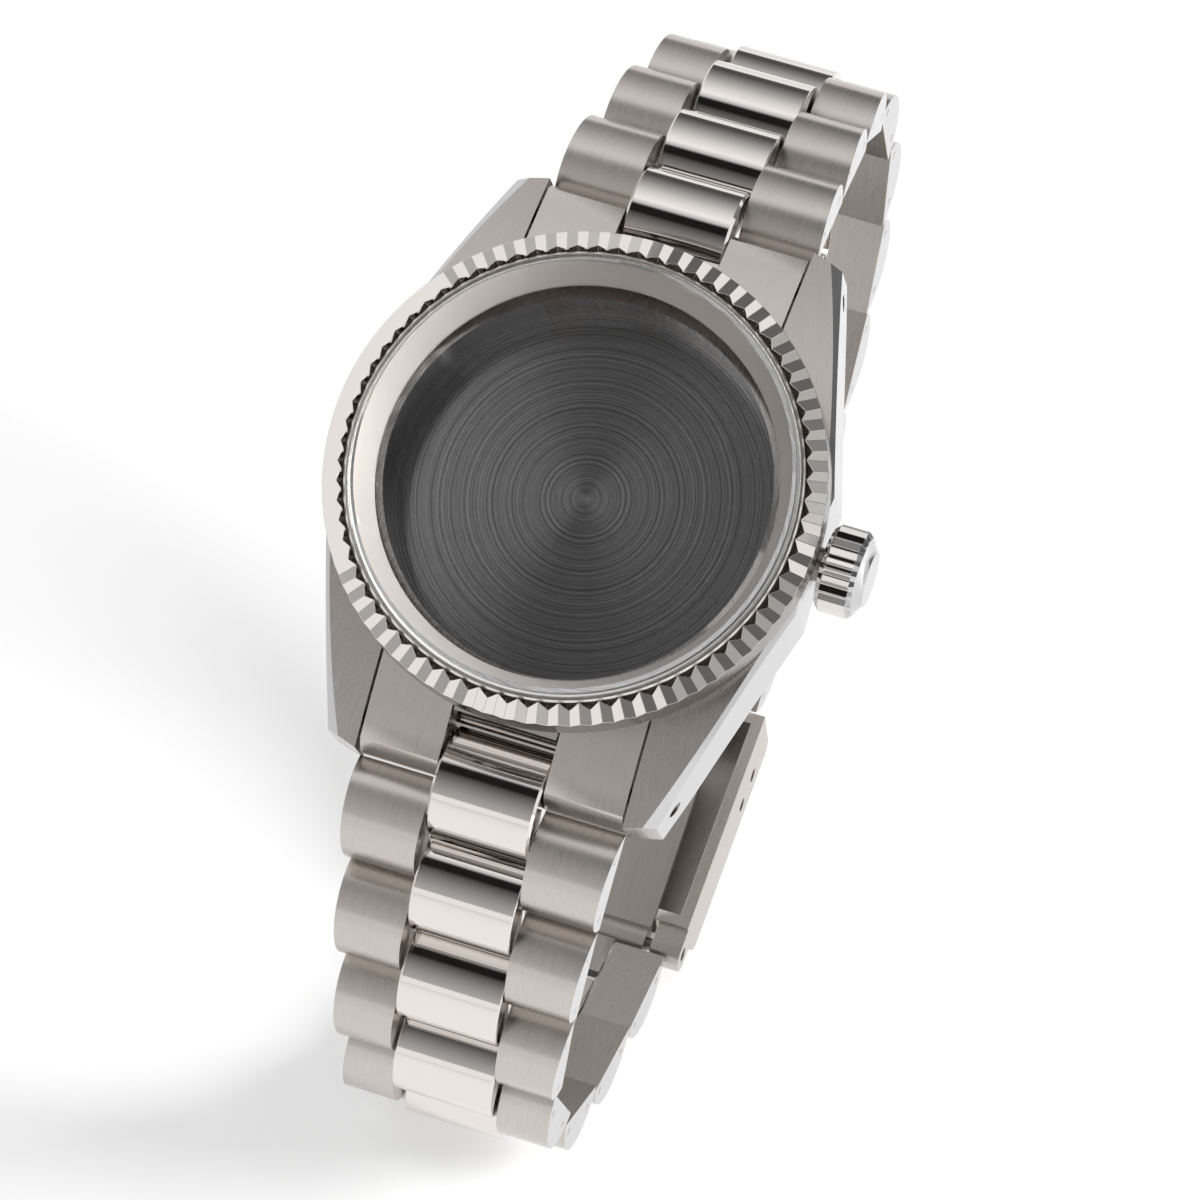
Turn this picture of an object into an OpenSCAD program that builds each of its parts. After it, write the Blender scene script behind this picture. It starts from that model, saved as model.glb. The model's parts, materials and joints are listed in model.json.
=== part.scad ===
// Empty steel watch case with a fluted bezel and a bracelet of half-round
// links, closed by a folding clasp.
// Millimetres. Inside a module the watch lies dial up: +X points to the crown,
// +Y to 12 o'clock and +Z out of the dial. stand() then tips every piece as the
// closed watch stands on a table, on its lowest links and the clasp's edge.

/* [Case] */
// Outer diameter of the fluted bezel
bezel_d = 35.9; // [34.8:0.1:36.4]
// Height of the bezel, from its foot to the outer edge of the flutes
bezel_h = 2.45; // [2.1:0.05:3]
// Number of flutes round the bezel
flute_count = 72; // [48:1:90]
// Depth of a flute at the outer edge
flute_depth = 0.55; // [0.3:0.05:0.7]
// Width of the sloping fluted face, seen from above
bezel_w = 1.5; // [1.3:0.05:1.8]
// How far the bezel's edge stands out past the barrel
bezel_over = 0.35; // [0.2:0.05:0.6]
// Width of the sloping flange between the crystal's ring and the movement bore
rehaut_w = 2.45; // [2.2:0.05:2.8]
// Depth of the movement bore below the dial seat
movement_depth = 4.55; // [3.6:0.05:5]
// Depth of the middle case's flat underside below the bezel's outer edge
case_under = 8.7; // [8.4:0.05:9.2]
// How far a lug reaches past the barrel
lug_reach = 4.3; // [3.9:0.1:4.9]
// Gap between the bracelet's side and a lug
lug_fit = 0.15; // [0.1:0.01:0.25]
// Width of one lug at its tip
lug_tip_w = 2.3; // [1.9:0.1:2.8]
// Radius of the arched top of the lugs, seen from the side
lug_arch_r = 62; // [50:1:80]
// Slope of the polished bevel along a lug, in degrees
bevel_slope = 42; // [35:1:50]

/* [Crystal and back] */
// Thickness of the flat crystal
crystal_t = 1.2; // [1:0.1:1.6]
// Width of the bright ring and the gasket round the crystal
ring_w = 0.6; // [0.5:0.05:0.8]
// Thickness of the caseback's flange
back_t = 1.8; // [1.2:0.1:2.2]
// Distance from the barrel's side to the caseback's flange
back_step = 1.4; // [1.1:0.05:1.7]
// Number of notches for the caseback key
back_notches = 36; // [18:1:48]

/* [Crown] */
// Diameter of the winding crown
crown_d = 6.4; // [5.6:0.1:6.6]
// Length of the winding crown
crown_l = 3.3; // [2.6:0.1:4]
// Number of grip flutes round the crown
crown_flutes = 24; // [20:1:30]
// Outer diameter of the crown tube
tube_d = 2.5; // [2.2:0.1:2.8]

/* [Bracelet] */
// Distance between neighbouring link pins
pitch = 8.4; // [8.2:0.05:8.6]
// Width of the bracelet where it leaves the lugs
band_w = 19.8; // [19:0.1:19.9]
// Width of the bracelet from the fourth row on
band_w_end = 16; // [15:0.1:17]
// Width of a centre link
centre_w = 7.9; // [7:0.1:8.4]
// Height of a half-round link above its flat inner face
link_h = 3.4; // [3.2:0.05:3.6]
// Depth of the pins below the tops of the links
pin_depth = 2.2; // [2:0.05:2.4]
// Distance from a link's end to the pin nearest to it
pin_inset = 1.6; // [1.5:0.05:1.8]
// Diameter of a link pin
link_pin_d = 1; // [0.8:0.05:1.2]
// Width of the polished bevel along a link's side
link_bevel = 0.3; // [0.15:0.05:0.45]

/* [Clasp] */
// Width of the clasp's cover
cover_w = 18; // [17.2:0.1:19]
// Thickness of the cover's wall
cover_t = 0.9; // [0.7:0.05:1.1]
// Thickness of the folding blades
blade_t = 0.7; // [0.6:0.05:0.8]
// Width of the long folding blade
blade_w = 12; // [10:0.5:13]

/* [Clearances] */
// Gap between neighbouring links at their flat inner faces
link_gap = 0.25; // [0.2:0.01:0.3]
// Gap on each side of a centre link
side_gap = 0.15; // [0.12:0.01:0.2]
// Radial running clearance of pins, posts and bars
run_fit = 0.05; // [0.03:0.01:0.08]
// Gap between seated parts that do not move
seat_gap = 0.02; // [0.01:0.01:0.04]

/* [Hidden] */
$fn = 96;
eps = 0.01;
far = 60;

// The downward turn of each row from the dial's plane, from the case onwards
turns_6 = [40, 48, 60, 90, 122, 138, 146];
turns_12 = [41, 46, 66, 95, 120, 140, 152, 162, 170, 176];
rows_6 = len(turns_6);
rows_12 = len(turns_12);
end_turn = 22;

// Half-round link: an arc over a flat base, in a frame whose origin is its pin,
// first axis along the row and second axis out of the bracelet
chord = pitch - link_gap;
link_far = chord - pin_inset;
base_n = pin_depth - link_h;
link_r = (pow(chord / 2, 2) + pow(link_h, 2)) / (2 * link_h);
arc_n = pin_depth - link_r;
arc_s = link_far - chord / 2;
base_cut = 0.45;
pin_r = link_pin_d / 2;
pin_cover = 0.35;
fixed_s = link_far - pin_inset;
half_step = pitch / 2;
centre_half = centre_w / 2 - side_gap / 2;
outer_in = centre_w / 2 + side_gap / 2;
taper_rows = 3;
taper = (band_w - band_w_end) / 2 / (taper_rows * pitch);
taper_deg = atan(taper);

// Heights of the case, down from the flutes' outer edge at zero
arch_top = -bezel_h;
dial_seat = -2.4;
crystal_under = -0.25;
back_inner = dial_seat - movement_depth;
lug_under = case_under + 1.7;
neck_top = -1.15;
flute_rise = 0.55;
under_z = -case_under;

// Radii of the case, from the bezel's edge inwards
bezel_r = bezel_d / 2;
barrel_r = bezel_r - bezel_over;
neck_r = bezel_r - 0.9;
flute_in_r = bezel_r - bezel_w;
ring_r = flute_in_r - 0.1;
crystal_r = ring_r - ring_w;
bore_r = ring_r - rehaut_w;
thread_r = bore_r + 0.9;
back_r = barrel_r - back_step;

// Lugs, from the gap that takes the bracelet outwards
lug_in = band_w / 2 + lug_fit;
lug_end = barrel_r + lug_reach;
lug_flank_y = 4.4;
lug_belly_r = 96;
bevel_x = barrel_r + 0.36;
bevel_lean = atan((bevel_x - lug_in - lug_tip_w - 1.16) / (lug_end - 0.7));

// Spring bars and their holes in the lugs
bar_r = 0.9;
tip_r = 0.55;
bar_y = lug_end - 2.6;
bar_z = -8;
bar_half = lug_in - 1.15;
tip_end = lug_in + 0.85;
tip_in = bar_half - 3.5;
tip_travel = 0.95;
rehaut_top_r = crystal_r - 0.15;
gasket_r = crystal_r + 0.19;

// The first link pin, just past the lugs
first_pin = [lug_end + 2, bar_z - 0.9];

// Crown, its tube and its post, along +X
crown_z = -5.4;
crown_x = barrel_r + 0.55;
tube_r = tube_d / 2;
tube_in = barrel_r - 3.5;
tube_out = crown_x + 1.45;
post_r = 0.8;
post_in = tube_in + 0.2;

// Folding clasp, in the frame of the last row on the 12 o'clock side
last_12 = rows_12 - 1;
knuckle_r = 1.3;
fold_r = 0.95;
last_bend = turns_12[last_12] - turns_12[last_12 - 1];
end_pivot = [fixed_s, 0];
fold_pivot = [-7.6, base_n - pitch * sin(last_bend) - fold_r - 0.35];
tongue_half = outer_in - 2 * side_gap;
short_w = 5.6;
fork_len = 8;
blade_bow = 0.6;
lid_n = 3.9;
lid_start = 1.5;
lid_gap = 0.75;
lid_corner_r = 1.2;
wall_n = -1.9;

function row_list(name, rows) = [for (i = [1:rows]) str(name, i)];

// Where the pins lie: a walk from the case, one pitch along each row
function along(turn) = [cos(turn), -sin(turn)];
function outward(turn) = [sin(turn), cos(turn)];
function pin_at(turns, i) = i == 0 ? first_pin : pin_at(turns, i - 1) + pitch * along(turns[i - 1]);
function on_row(turns, i, p) = pin_at(turns, i) + p[0] * along(turns[i]) + p[1] * outward(turns[i]);

function mirror_y(p) = [-p[0], p[1]];

// The clasp's pin is the next pin of the 6 o'clock side. The long blade runs from
// it to the fold, and the cover to the last row on the 12 o'clock side
clasp_at = mirror_y(pin_at(turns_6, rows_6));
from_last = clasp_at - pin_at(turns_12, last_12);
loop_pivot = [from_last * along(turns_12[last_12]), from_last * outward(turns_12[last_12])];
blade_span = loop_pivot - fold_pivot;
blade_len = norm(blade_span);
blade_turn = atan2(blade_span[1], blade_span[0]);
cover_span = loop_pivot - end_pivot;
cover_turn = turns_12[last_12] - atan2(cover_span[1], cover_span[0]);
lid_end = norm(cover_span) - pin_inset - lid_gap;

// The watch stands on its lowest row and on the rounded near edge of the cover
lid_edge = clasp_at - (lid_start + lid_corner_r) * along(cover_turn)
    + (lid_n - lid_corner_r) * outward(cover_turn);
function row_reach(i) = lid_edge - mirror_y(on_row(turns_6, i, [arc_s, arc_n]));
function tilt_on(d) = asin((lid_corner_r - link_r) / norm(d)) - atan2(d[1], d[0]);
stand_tilt = min([for (i = [0:rows_6 - 1]) tilt_on(row_reach(i))]);

// Tips a piece into the standing pose, about the middle of the dial seat
module stand() {
    rotate([stand_tilt, 0, 0]) translate([0, 0, -dial_seat]) children();
}

// Turns an outline drawn as (along, outward) into a slab across the bracelet
module across(w) {
    rotate([90, 0, 90]) translate([0, 0, -w / 2]) linear_extrude(w) children();
}

// A cylinder across the bracelet, along X
module rod(r, w, p = [0, 0]) {
    translate([-w / 2, p[0], p[1]]) rotate([0, 90, 0]) cylinder(r = r, h = w, $fn = 48);
}

// Carries a piece to a row of the 12 o'clock side
module on_12(i) {
    p = pin_at(turns_12, i);
    translate([0, p[0], p[1]]) rotate([-turns_12[i], 0, 0]) children();
}

// Carries a piece to a row of the 6 o'clock side
module on_6(i) {
    p = pin_at(turns_6, i);
    mirror([0, 1, 0]) translate([0, p[0], p[1]]) rotate([-turns_6[i], 0, 0]) children();
}

// The frame of an end link, whose far end meets the first pin
module on_end(side) {
    p = first_pin - pitch * along(end_turn);
    mirror([0, side == 6 ? 1 : 0, 0]) translate([0, p[0], p[1]]) rotate([-end_turn, 0, 0]) children();
}

module ring(outer, inner, low, high) {
    translate([0, 0, low]) difference() {
        cylinder(r = outer, h = high - low);
        translate([0, 0, -eps]) cylinder(r = inner, h = high - low + 2 * eps);
    }
}

module case_outline() {
    intersection() {
        union() {
            circle(r = barrel_r);
            for (sx = [-1, 1]) for (sy = [-1, 1]) quarter(sx, sy) lug_outline();
        }
        circle(r = norm([lug_in + lug_tip_w, lug_end]) - 0.5, $fn = 180);
    }
}

module quarter(sx, sy) {
    mirror([sx < 0 ? 1 : 0, 0]) mirror([0, sy < 0 ? 1 : 0]) children();
}

// One lug seen from above, with its straight flank and slanted tip
module lug_outline() {
    polygon([[lug_in, 0], [barrel_r - 0.2, 0], [barrel_r - 0.05, lug_flank_y],
        [lug_in + lug_tip_w, lug_end - 0.7], [lug_in, lug_end]]);
}

// The case seen from the side: arched top, arched underside and rounded tips
module case_side() {
    intersection() {
        translate([0, arch_top - lug_arch_r]) circle(r = lug_arch_r, $fn = 360);
        union() {
            difference() {
                translate([-lug_end, -lug_under]) square([2 * lug_end, lug_under]);
                translate([0, under_z - lug_belly_r]) circle(r = lug_belly_r, $fn = 360);
                for (m = [0, 1]) mirror([m, 0]) translate([lug_end - 1.1, -lug_under - eps])
                    difference() {
                        square([2, 1.1]);
                        translate([0, 1.1]) circle(r = 1.1, $fn = 48);
                    }
            }
            translate([-barrel_r, under_z]) square([2 * barrel_r, case_under]);
        }
    }
}

// Keeps what lies under the polished bevel of one lug
module bevel_keep(sx, sy) {
    mirror([sx < 0 ? 1 : 0, 0, 0]) mirror([0, sy < 0 ? 1 : 0, 0])
        translate([bevel_x, 0, arch_top]) rotate([0, 0, bevel_lean]) rotate([0, bevel_slope, 0])
        translate([-far, 0, -lug_arch_r]) rotate([0, 90, 0]) cylinder(r = lug_arch_r, h = 2 * far, $fn = 360);
}

module case_blank() {
    intersection() {
        translate([0, 0, -lug_under - 1]) linear_extrude(lug_under + 1) case_outline();
        across(2 * far) case_side();
        under_bevels();
    }
}

module under_bevels() {
    intersection() {
        bevel_keep(1, 1);
        bevel_keep(1, -1);
        bevel_keep(-1, 1);
        bevel_keep(-1, -1);
    }
}

// Middle case: barrel and four lugs, with the seats for everything it carries
module case_middle() {
    color("silver") difference() {
        union() {
            case_blank();
            ring(neck_r, ring_r + seat_gap, arch_top - 0.6, neck_top);
        }
        translate([0, 0, -far / 2]) cylinder(r = bore_r, h = far);
        translate([0, 0, dial_seat]) cylinder(r = ring_r + seat_gap, h = far);
        translate([0, 0, under_z - far]) cylinder(r = thread_r, h = far + case_under + back_inner);
        translate([0, 0, under_z - far]) cylinder(r = back_r + 0.1, h = far);
        for (m = [0, 1]) mirror([0, m, 0]) end_pocket();
        for (y = [-bar_y, bar_y]) translate([0, y, bar_z]) rod(tip_r + run_fit, far);
        translate([tube_in - 1, 0, crown_z]) rotate([0, 90, 0]) cylinder(r = tube_r, h = far, $fn = 48);
        translate([crown_x - 0.25, 0, crown_z]) rotate([0, 90, 0])
            cylinder(r = crown_d / 2 + 0.35, h = far);
    }
}

// Room between a pair of lugs, down to the barrel
module end_pocket() {
    difference() {
        translate([-lug_in, 0, -far]) cube([2 * lug_in, far, 2 * far]);
        translate([0, 0, -far]) cylinder(r = barrel_r - 0.3, h = 2 * far);
    }
}

// Fluted bezel: a sloping ring cut by one V for each flute
module bezel() {
    step = 360 / flute_count;
    half = bezel_r * tan(step / 2);
    slope = atan(flute_rise / (bezel_r - flute_in_r));
    color("gainsboro") difference() {
        rotate_extrude($fn = 180) polygon([[neck_r + seat_gap, arch_top + seat_gap],
            [bezel_r - 0.15, arch_top + seat_gap], [bezel_r, arch_top + 0.17], [bezel_r, 0],
            [flute_in_r, flute_rise], [ring_r + 0.1, flute_rise - 0.1], [ring_r + 0.1, neck_top + seat_gap],
            [neck_r + seat_gap, neck_top + seat_gap]]);
        for (i = [0:flute_count - 1]) rotate([0, 0, (i + 0.5) * step])
            translate([bezel_r, 0, 0]) rotate([0, slope, 0]) rotate([0, -90, 0])
            translate([0, 0, -1]) linear_extrude(4) polygon([[-flute_depth, 0], [flute_depth, -2 * half],
                [flute_depth, 2 * half]]);
    }
}

module crystal() {
    edge = 0.25;
    color([0.75, 0.85, 0.9, 0.35]) rotate_extrude($fn = 180) polygon([[0, crystal_under], [crystal_r, crystal_under],
        [crystal_r, crystal_under + crystal_t - edge], [crystal_r - edge, crystal_under + crystal_t],
        [0, crystal_under + crystal_t]]);
}

module crystal_gasket() {
    color("white") ring(gasket_r - seat_gap, crystal_r + seat_gap, crystal_under, crystal_under + 0.45);
}

module tension_ring() {
    inner = gasket_r;
    color("gainsboro") rotate_extrude($fn = 180) polygon([[inner, crystal_under], [ring_r, crystal_under],
        [ring_r, 0.2], [ring_r - 0.15, 0.35], [inner + 0.1, 0.35], [inner, 0.25]]);
}

// Sloping inner flange between the crystal and the dial seat
module rehaut_ring() {
    color("silver") rotate_extrude($fn = 180) polygon([[bore_r + 0.5, dial_seat + 0.35],
        [bore_r + 0.5, dial_seat + seat_gap], [ring_r, dial_seat + seat_gap],
        [ring_r, crystal_under - seat_gap], [rehaut_top_r, crystal_under - seat_gap]]);
}

module caseback() {
    low = under_z - back_t;
    notch = 360 / back_notches;
    color("darkgray") difference() {
        rotate_extrude($fn = 180) polygon([[0, back_inner - seat_gap], [thread_r - run_fit, back_inner - seat_gap],
            [thread_r - run_fit, under_z - seat_gap], [back_r, under_z - seat_gap], [back_r, low + 0.9],
            [back_r - 1.6, low], [0, low]]);
        rotate_extrude($fn = 180) translate([thread_r + 0.62, under_z]) circle(r = 0.4, $fn = 24);
        for (i = [0:back_notches - 1]) rotate([0, 0, i * notch])
            translate([back_r + 0.2, 0, low - 1]) cylinder(r = 0.75, h = back_t + 0.2, $fn = 16);
    }
}

module caseback_gasket() {
    color("black") rotate_extrude($fn = 120) translate([thread_r + 0.62, under_z - 0.02])
        intersection() {
            circle(r = 0.38, $fn = 24);
            translate([-1, -1]) square([2, 1.02 - eps]);
        }
}

module crown_tube() {
    color("gray") translate([0, 0, crown_z]) rotate([0, 90, 0]) difference() {
        translate([0, 0, tube_in]) cylinder(r = tube_r, h = tube_out - tube_in, $fn = 48);
        translate([0, 0, tube_in - 1]) cylinder(r = post_r + run_fit, h = far, $fn = 48);
    }
}

module crown_post() {
    color("gray") translate([post_in, 0, crown_z]) rotate([0, 90, 0])
        cylinder(r = post_r, h = crown_x + crown_l - 1 - post_in, $fn = 48);
}

// Sealing ring on the end of the crown's post
module crown_gasket() {
    color("black") translate([0, 0, crown_z]) rotate([0, 90, 0])
        ring(tube_r - 0.1, post_r, tube_out + 0.12, tube_out + 0.45);
}

module crown() {
    r = crown_d / 2;
    cap = crown_l - 0.95;
    grip = 0.35;
    tips = 2 * crown_flutes;
    color("gainsboro") translate([crown_x, 0, crown_z]) rotate([0, 90, 0]) difference() {
        intersection() {
            translate([0, 0, -0.5]) linear_extrude(crown_l + 1) polygon([for (i = [0:tips - 1])
                (i % 2 == 0 ? r + 0.02 : r - grip) * [cos(i * 360 / tips), sin(i * 360 / tips)]]);
            rotate_extrude() polygon([[0, 0], [r - 0.35, 0], [r, 0.35], [r, crown_l - 0.95],
                [r - 0.38, crown_l - 0.58], [r - 0.9, crown_l - 0.3], [r - 1.1, crown_l - 0.15], [r - 1.2, crown_l],
                [0, crown_l]]);
        }
        rotate_extrude() polygon([[0, -1], [tube_r + run_fit + 0.05, -1], [tube_r + run_fit + 0.05, cap - 0.3],
            [post_r + run_fit, cap - 0.3], [post_r + run_fit, cap + run_fit], [0, cap + run_fit]]);
    }
}

// The steel tube of a spring bar, open at both ends for its tips
module spring_bar(y) {
    color("gray") translate([0, y, bar_z]) difference() {
        rod(bar_r, 2 * bar_half);
        for (s = [-1, 1]) translate([s * (bar_half + tip_in) / 2, 0, 0])
            rod(tip_r + run_fit, bar_half - tip_in + 2 * eps);
    }
}

// A spring bar's sliding tip, with one end in the lug
module bar_tip(side, y) {
    start = tip_in + tip_travel + 0.15;
    color("dimgray") translate([side * (tip_end + start) / 2, y, bar_z]) rod(tip_r, tip_end - start);
}

// A link's outline over its flat base
module half_round() {
    intersection() {
        translate([arc_s, arc_n]) circle(r = link_r, $fn = 180);
        polygon([[base_cut - pin_inset, base_n], [link_far - base_cut, base_n], [link_far, base_n + base_cut],
            [link_far, pin_depth + 1], [-pin_inset, pin_depth + 1], [-pin_inset, base_n + base_cut]]);
    }
}

// Half the bracelet's width where a row starts, by its number from the case
function half_w(row) = band_w / 2 - taper * pitch * min(row, taper_rows);

// Half the width that a row's pin may take, at a place along the row
function pin_room(row, s) = half_w(row) - (row < taper_rows ? taper * (s + pin_r) : 0) - pin_cover;

// Cuts a link to the bracelet's slanted side and bevels the edge along it
module side_cut(half, lean) {
    translate([half, 0, 0]) rotate([0, 0, lean]) difference() {
        translate([-link_bevel, -far, -far]) cube([far, 2 * far, 2 * far]);
        translate([-link_bevel - eps, arc_s, arc_n]) rotate([0, 90, 0])
            cylinder(r1 = link_r + eps, r2 = link_r - link_bevel, h = link_bevel + eps, $fn = 180);
    }
}

// The two outer links of a row, each pierced for the row's two pins
module outer_pair(row) {
    half = half_w(row);
    lean = row < taper_rows ? taper_deg : 0;
    for (m = [0, 1]) mirror([m, 0, 0]) difference() {
        translate([(outer_in + band_w / 2) / 2 + 0.5, 0, 0]) across(band_w / 2 - outer_in + 1) half_round();
        side_cut(half, lean);
        rod(pin_r, 2 * pin_room(row, 0));
        rod(pin_r, 2 * pin_room(row, fixed_s), [fixed_s, 0]);
    }
}

// A centre link, half a pitch further on, with its two pin bores
module centre_link(near, cut_far = 0) {
    difference() {
        translate([0, half_step, 0]) intersection() {
            across(2 * centre_half) half_round();
            translate([0, arc_s, arc_n]) centre_lathe();
            translate([-far, -far, -far]) cube([2 * far, far + link_far - cut_far, 2 * far]);
        }
        if (near) rod(pin_r, centre_w, [fixed_s, 0]);
        if (cut_far == 0) rod(pin_r + run_fit, centre_w, [pitch, 0]);
    }
}

// Rounds the polished edges of a centre link
module centre_lathe() {
    w = centre_half;
    edge = 0.2;
    rotate([0, 90, 0]) rotate_extrude($fn = 180) polygon([[0, -w], [link_r - edge, -w], [link_r + eps, -w + edge],
        [link_r + eps, w - edge], [link_r - edge, w], [0, w]]);
}

module row_pins(row) {
    rod(pin_r - eps, 2 * pin_room(row, 0) - 0.1);
    rod(pin_r - eps, 2 * pin_room(row, fixed_s) - 0.1, [fixed_s, 0]);
}

module outer_links_12(i) {
    color("darkgray") on_12(i) {
        outer_pair(i);
        row_pins(i);
    }
}

module outer_links_6(i) {
    color("darkgray") on_6(i) {
        outer_pair(i);
        row_pins(i);
    }
}

module centre_link_12(i) {
    color("gainsboro") on_12(i) centre_link(true);
}

// The last one stops short of the clasp's pin, where the closed loop is open
module centre_link_6(i) {
    open_end = i == rows_6 - 1 ? link_far + half_step - (pitch - knuckle_r - 0.3) : 0;
    color("gainsboro") on_6(i) centre_link(true, open_end);
}

// End link: fills the space between two lugs and follows the barrel
module end_link(side) {
    end_half = lug_in - 0.08;
    color("darkgray") difference() {
        intersection() {
            on_end(side) difference() {
                across(2 * end_half) polygon([[-6, -5.2], [fixed_s + 0.25, -5.2], [link_far + 0.65, base_n - 1],
                    [link_far, base_n + 0.3], [link_far, 6], [-6, 6]]);
                end_hollow();
            }
            on_end(side) union() {
                across(2 * far) translate([arc_s, arc_n]) circle(r = link_r, $fn = 180);
                across(2 * far) translate([-far + arc_s, -far]) square([far, 2 * far]);
                across(2 * far) translate([0, -far]) square([6, far + base_n + 1]);
            }
            translate([0, 0, arch_top - 0.05 - lug_arch_r]) rotate([0, 90, 0])
                cylinder(r = lug_arch_r, h = 2 * far, center = true, $fn = 360);
        }
        translate([0, 0, -far]) cylinder(r = barrel_r - 0.3 + 0.06, h = far - 2.6);
        translate([0, 0, arch_top - 0.1]) cylinder(r = bezel_r + 0.1, h = far);
        translate([0, side == 6 ? -bar_y : bar_y, bar_z]) rod(bar_r + run_fit, far);
    }
}

// Leaves the half-round bar in the middle of an end link, with a thin groove on
// each side of it, and room for the centre link that follows it
module end_hollow() {
    bar_s = arc_s - half_step;
    floor_n = base_n - 0.2;
    across(2 * outer_in) difference() {
        translate([bar_s, floor_n]) square([far, far]);
        translate([bar_s, arc_n]) circle(r = link_r, $fn = 180);
    }
    for (m = [-1, 1]) translate([m * (outer_in + centre_half) / 2, 0, 0])
        across(outer_in - centre_half) translate([-far, floor_n]) square([2 * far, far]);
}

module end_centre(side) {
    color("gainsboro") difference() {
        on_end(side) centre_link(false);
        translate([0, side == 6 ? -bar_y : bar_y, bar_z]) rod(bar_r + run_fit, far);
    }
}

// Short blade of the clasp, from the last row back to the fold. It dips under
// the last centre link
module blade_short() {
    under = base_n - 0.3;
    color("silver") on_12(last_12) difference() {
        union() {
            rod(knuckle_r, 2 * tongue_half, end_pivot);
            rod(fold_r, short_w, fold_pivot);
            across(short_w) polygon([end_pivot + [0.9, 0], end_pivot + [-0.9, 0], [end_pivot[0] - 1.1, under],
                fold_pivot + [0, 0.35], fold_pivot + [0, 0.35 - blade_t],
                [end_pivot[0] + 0.3, under - blade_t], end_pivot + [0.9, -1]]);
        }
        rod(pin_r + run_fit, far, end_pivot);
        rod(pin_r + run_fit, far, fold_pivot);
    }
}

module blade_pin() {
    color("gray") on_12(last_12) rod(pin_r, blade_w - 1, fold_pivot);
}

// Carries a piece to the long blade's frame: origin at the clasp's pin, first
// axis towards the fold, second axis out of the bracelet
module on_blade() {
    on_12(last_12) translate([0, loop_pivot[0], loop_pivot[1]]) rotate([blade_turn, 0, 0])
        mirror([0, 1, 0]) children();
}

// Carries a piece to the cover's frame, whose first axis runs to the last row
module on_cover() {
    p = on_row(turns_12, last_12, loop_pivot);
    translate([0, p[0], p[1]]) rotate([-cover_turn, 0, 0]) mirror([0, 1, 0]) children();
}

// Long blade: a bowed strip with a knuckle at each end, forked round the short one
module blade_long() {
    r = (pow(blade_len / 2, 2) + pow(blade_bow, 2)) / (2 * blade_bow);
    color("silver") on_blade() difference() {
        union() {
            intersection() {
                across(blade_w) translate([blade_len / 2, blade_bow - r]) difference() {
                    circle(r = r + blade_t / 2, $fn = 720);
                    circle(r = r - blade_t / 2, $fn = 720);
                }
                translate([-far, 0.5, -far]) cube([2 * far, blade_len - 0.5, 2 * far]);
            }
            rod(knuckle_r, blade_w);
            rod(fold_r, blade_w, [blade_len, 0]);
        }
        across(short_w + 0.6) translate([blade_len - fork_len, -far]) square([far, 2 * far]);
        rod(pin_r, far);
        rod(pin_r, far, [blade_len, 0]);
    }
}

module clasp_pin() {
    color("gray") on_blade() rod(pin_r - eps, cover_w - 0.8);
}

// The clasp cover seen from the side, with a rounded edge at each end
module lid_outline() {
    r = lid_corner_r;
    difference() {
        translate([lid_start, wall_n]) square([lid_end - lid_start, lid_n - wall_n]);
        translate([lid_start, lid_n - r]) corner_bite(r, 0);
        translate([lid_end, lid_n - r]) corner_bite(r, 1);
    }
}

module corner_bite(r, flip) {
    mirror([flip, 0]) translate([-1, 0]) difference() {
        square([1 + r, r + 1]);
        translate([1 + r, 0]) circle(r = r, $fn = 48);
    }
}

// Cover of the clasp: a shallow tray, open towards the wrist
module clasp_cover() {
    ear_r = pin_inset - 0.2;
    ear_w = (cover_w - blade_w) / 2 - 0.6;
    color("silver") on_cover() difference() {
        union() {
            across(cover_w) lid_outline();
            for (s = [-1, 1]) translate([s * (cover_w - ear_w) / 2, 0, 0]) {
                rod(ear_r, ear_w);
                across(ear_w) translate([0, -ear_r]) square([lid_start + 1, 2 * ear_r]);
            }
        }
        across(cover_w - 2 * cover_t) translate([lid_start + cover_t, wall_n - 1])
            square([lid_end - lid_start - 2 * cover_t, lid_n - wall_n + 1 - cover_t]);
        across(blade_w + 0.6) translate([-far + lid_start + 3, wall_n - 1])
            square([far, -wall_n + 1 + knuckle_r + 0.3]);
        across(blade_w + 0.6) translate([lid_end - 3, wall_n - 1])
            square([far, -wall_n + 1 + knuckle_r + 0.3]);
        rod(pin_r + run_fit, far);
        for (k = [1, 2]) rod(pin_r + run_fit, far, [lid_end - 2.6 * k - 1, 1.9]);
    }
}

stand() case_middle();
stand() bezel();
stand() crystal();
stand() crystal_gasket();
stand() tension_ring();
stand() rehaut_ring();
stand() caseback();
stand() caseback_gasket();
stand() crown_tube();
stand() crown_post();
stand() crown_gasket();
stand() crown();
stand() end_link(12);  // end_link_12
stand() end_link(6);  // end_link_6
stand() end_centre(12);  // end_centre_12
stand() end_centre(6);  // end_centre_6
stand() spring_bar(bar_y);  // spring_bar_12
stand() spring_bar(-bar_y);  // spring_bar_6
stand() bar_tip(1, bar_y);  // bar_tip_12_right
stand() bar_tip(-1, bar_y);  // bar_tip_12_left
stand() bar_tip(1, -bar_y);  // bar_tip_6_right
stand() bar_tip(-1, -bar_y);  // bar_tip_6_left
stand() blade_short();
stand() blade_pin();
stand() blade_long();
stand() clasp_pin();
stand() clasp_cover();
for (i = [1:rows_12]) stand() outer_links_12(i - 1);
for (i = [1:rows_12 - 1]) stand() centre_link_12(i - 1);
for (i = [1:rows_6]) stand() outer_links_6(i - 1);
for (i = [1:rows_6]) stand() centre_link_6(i - 1);
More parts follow.
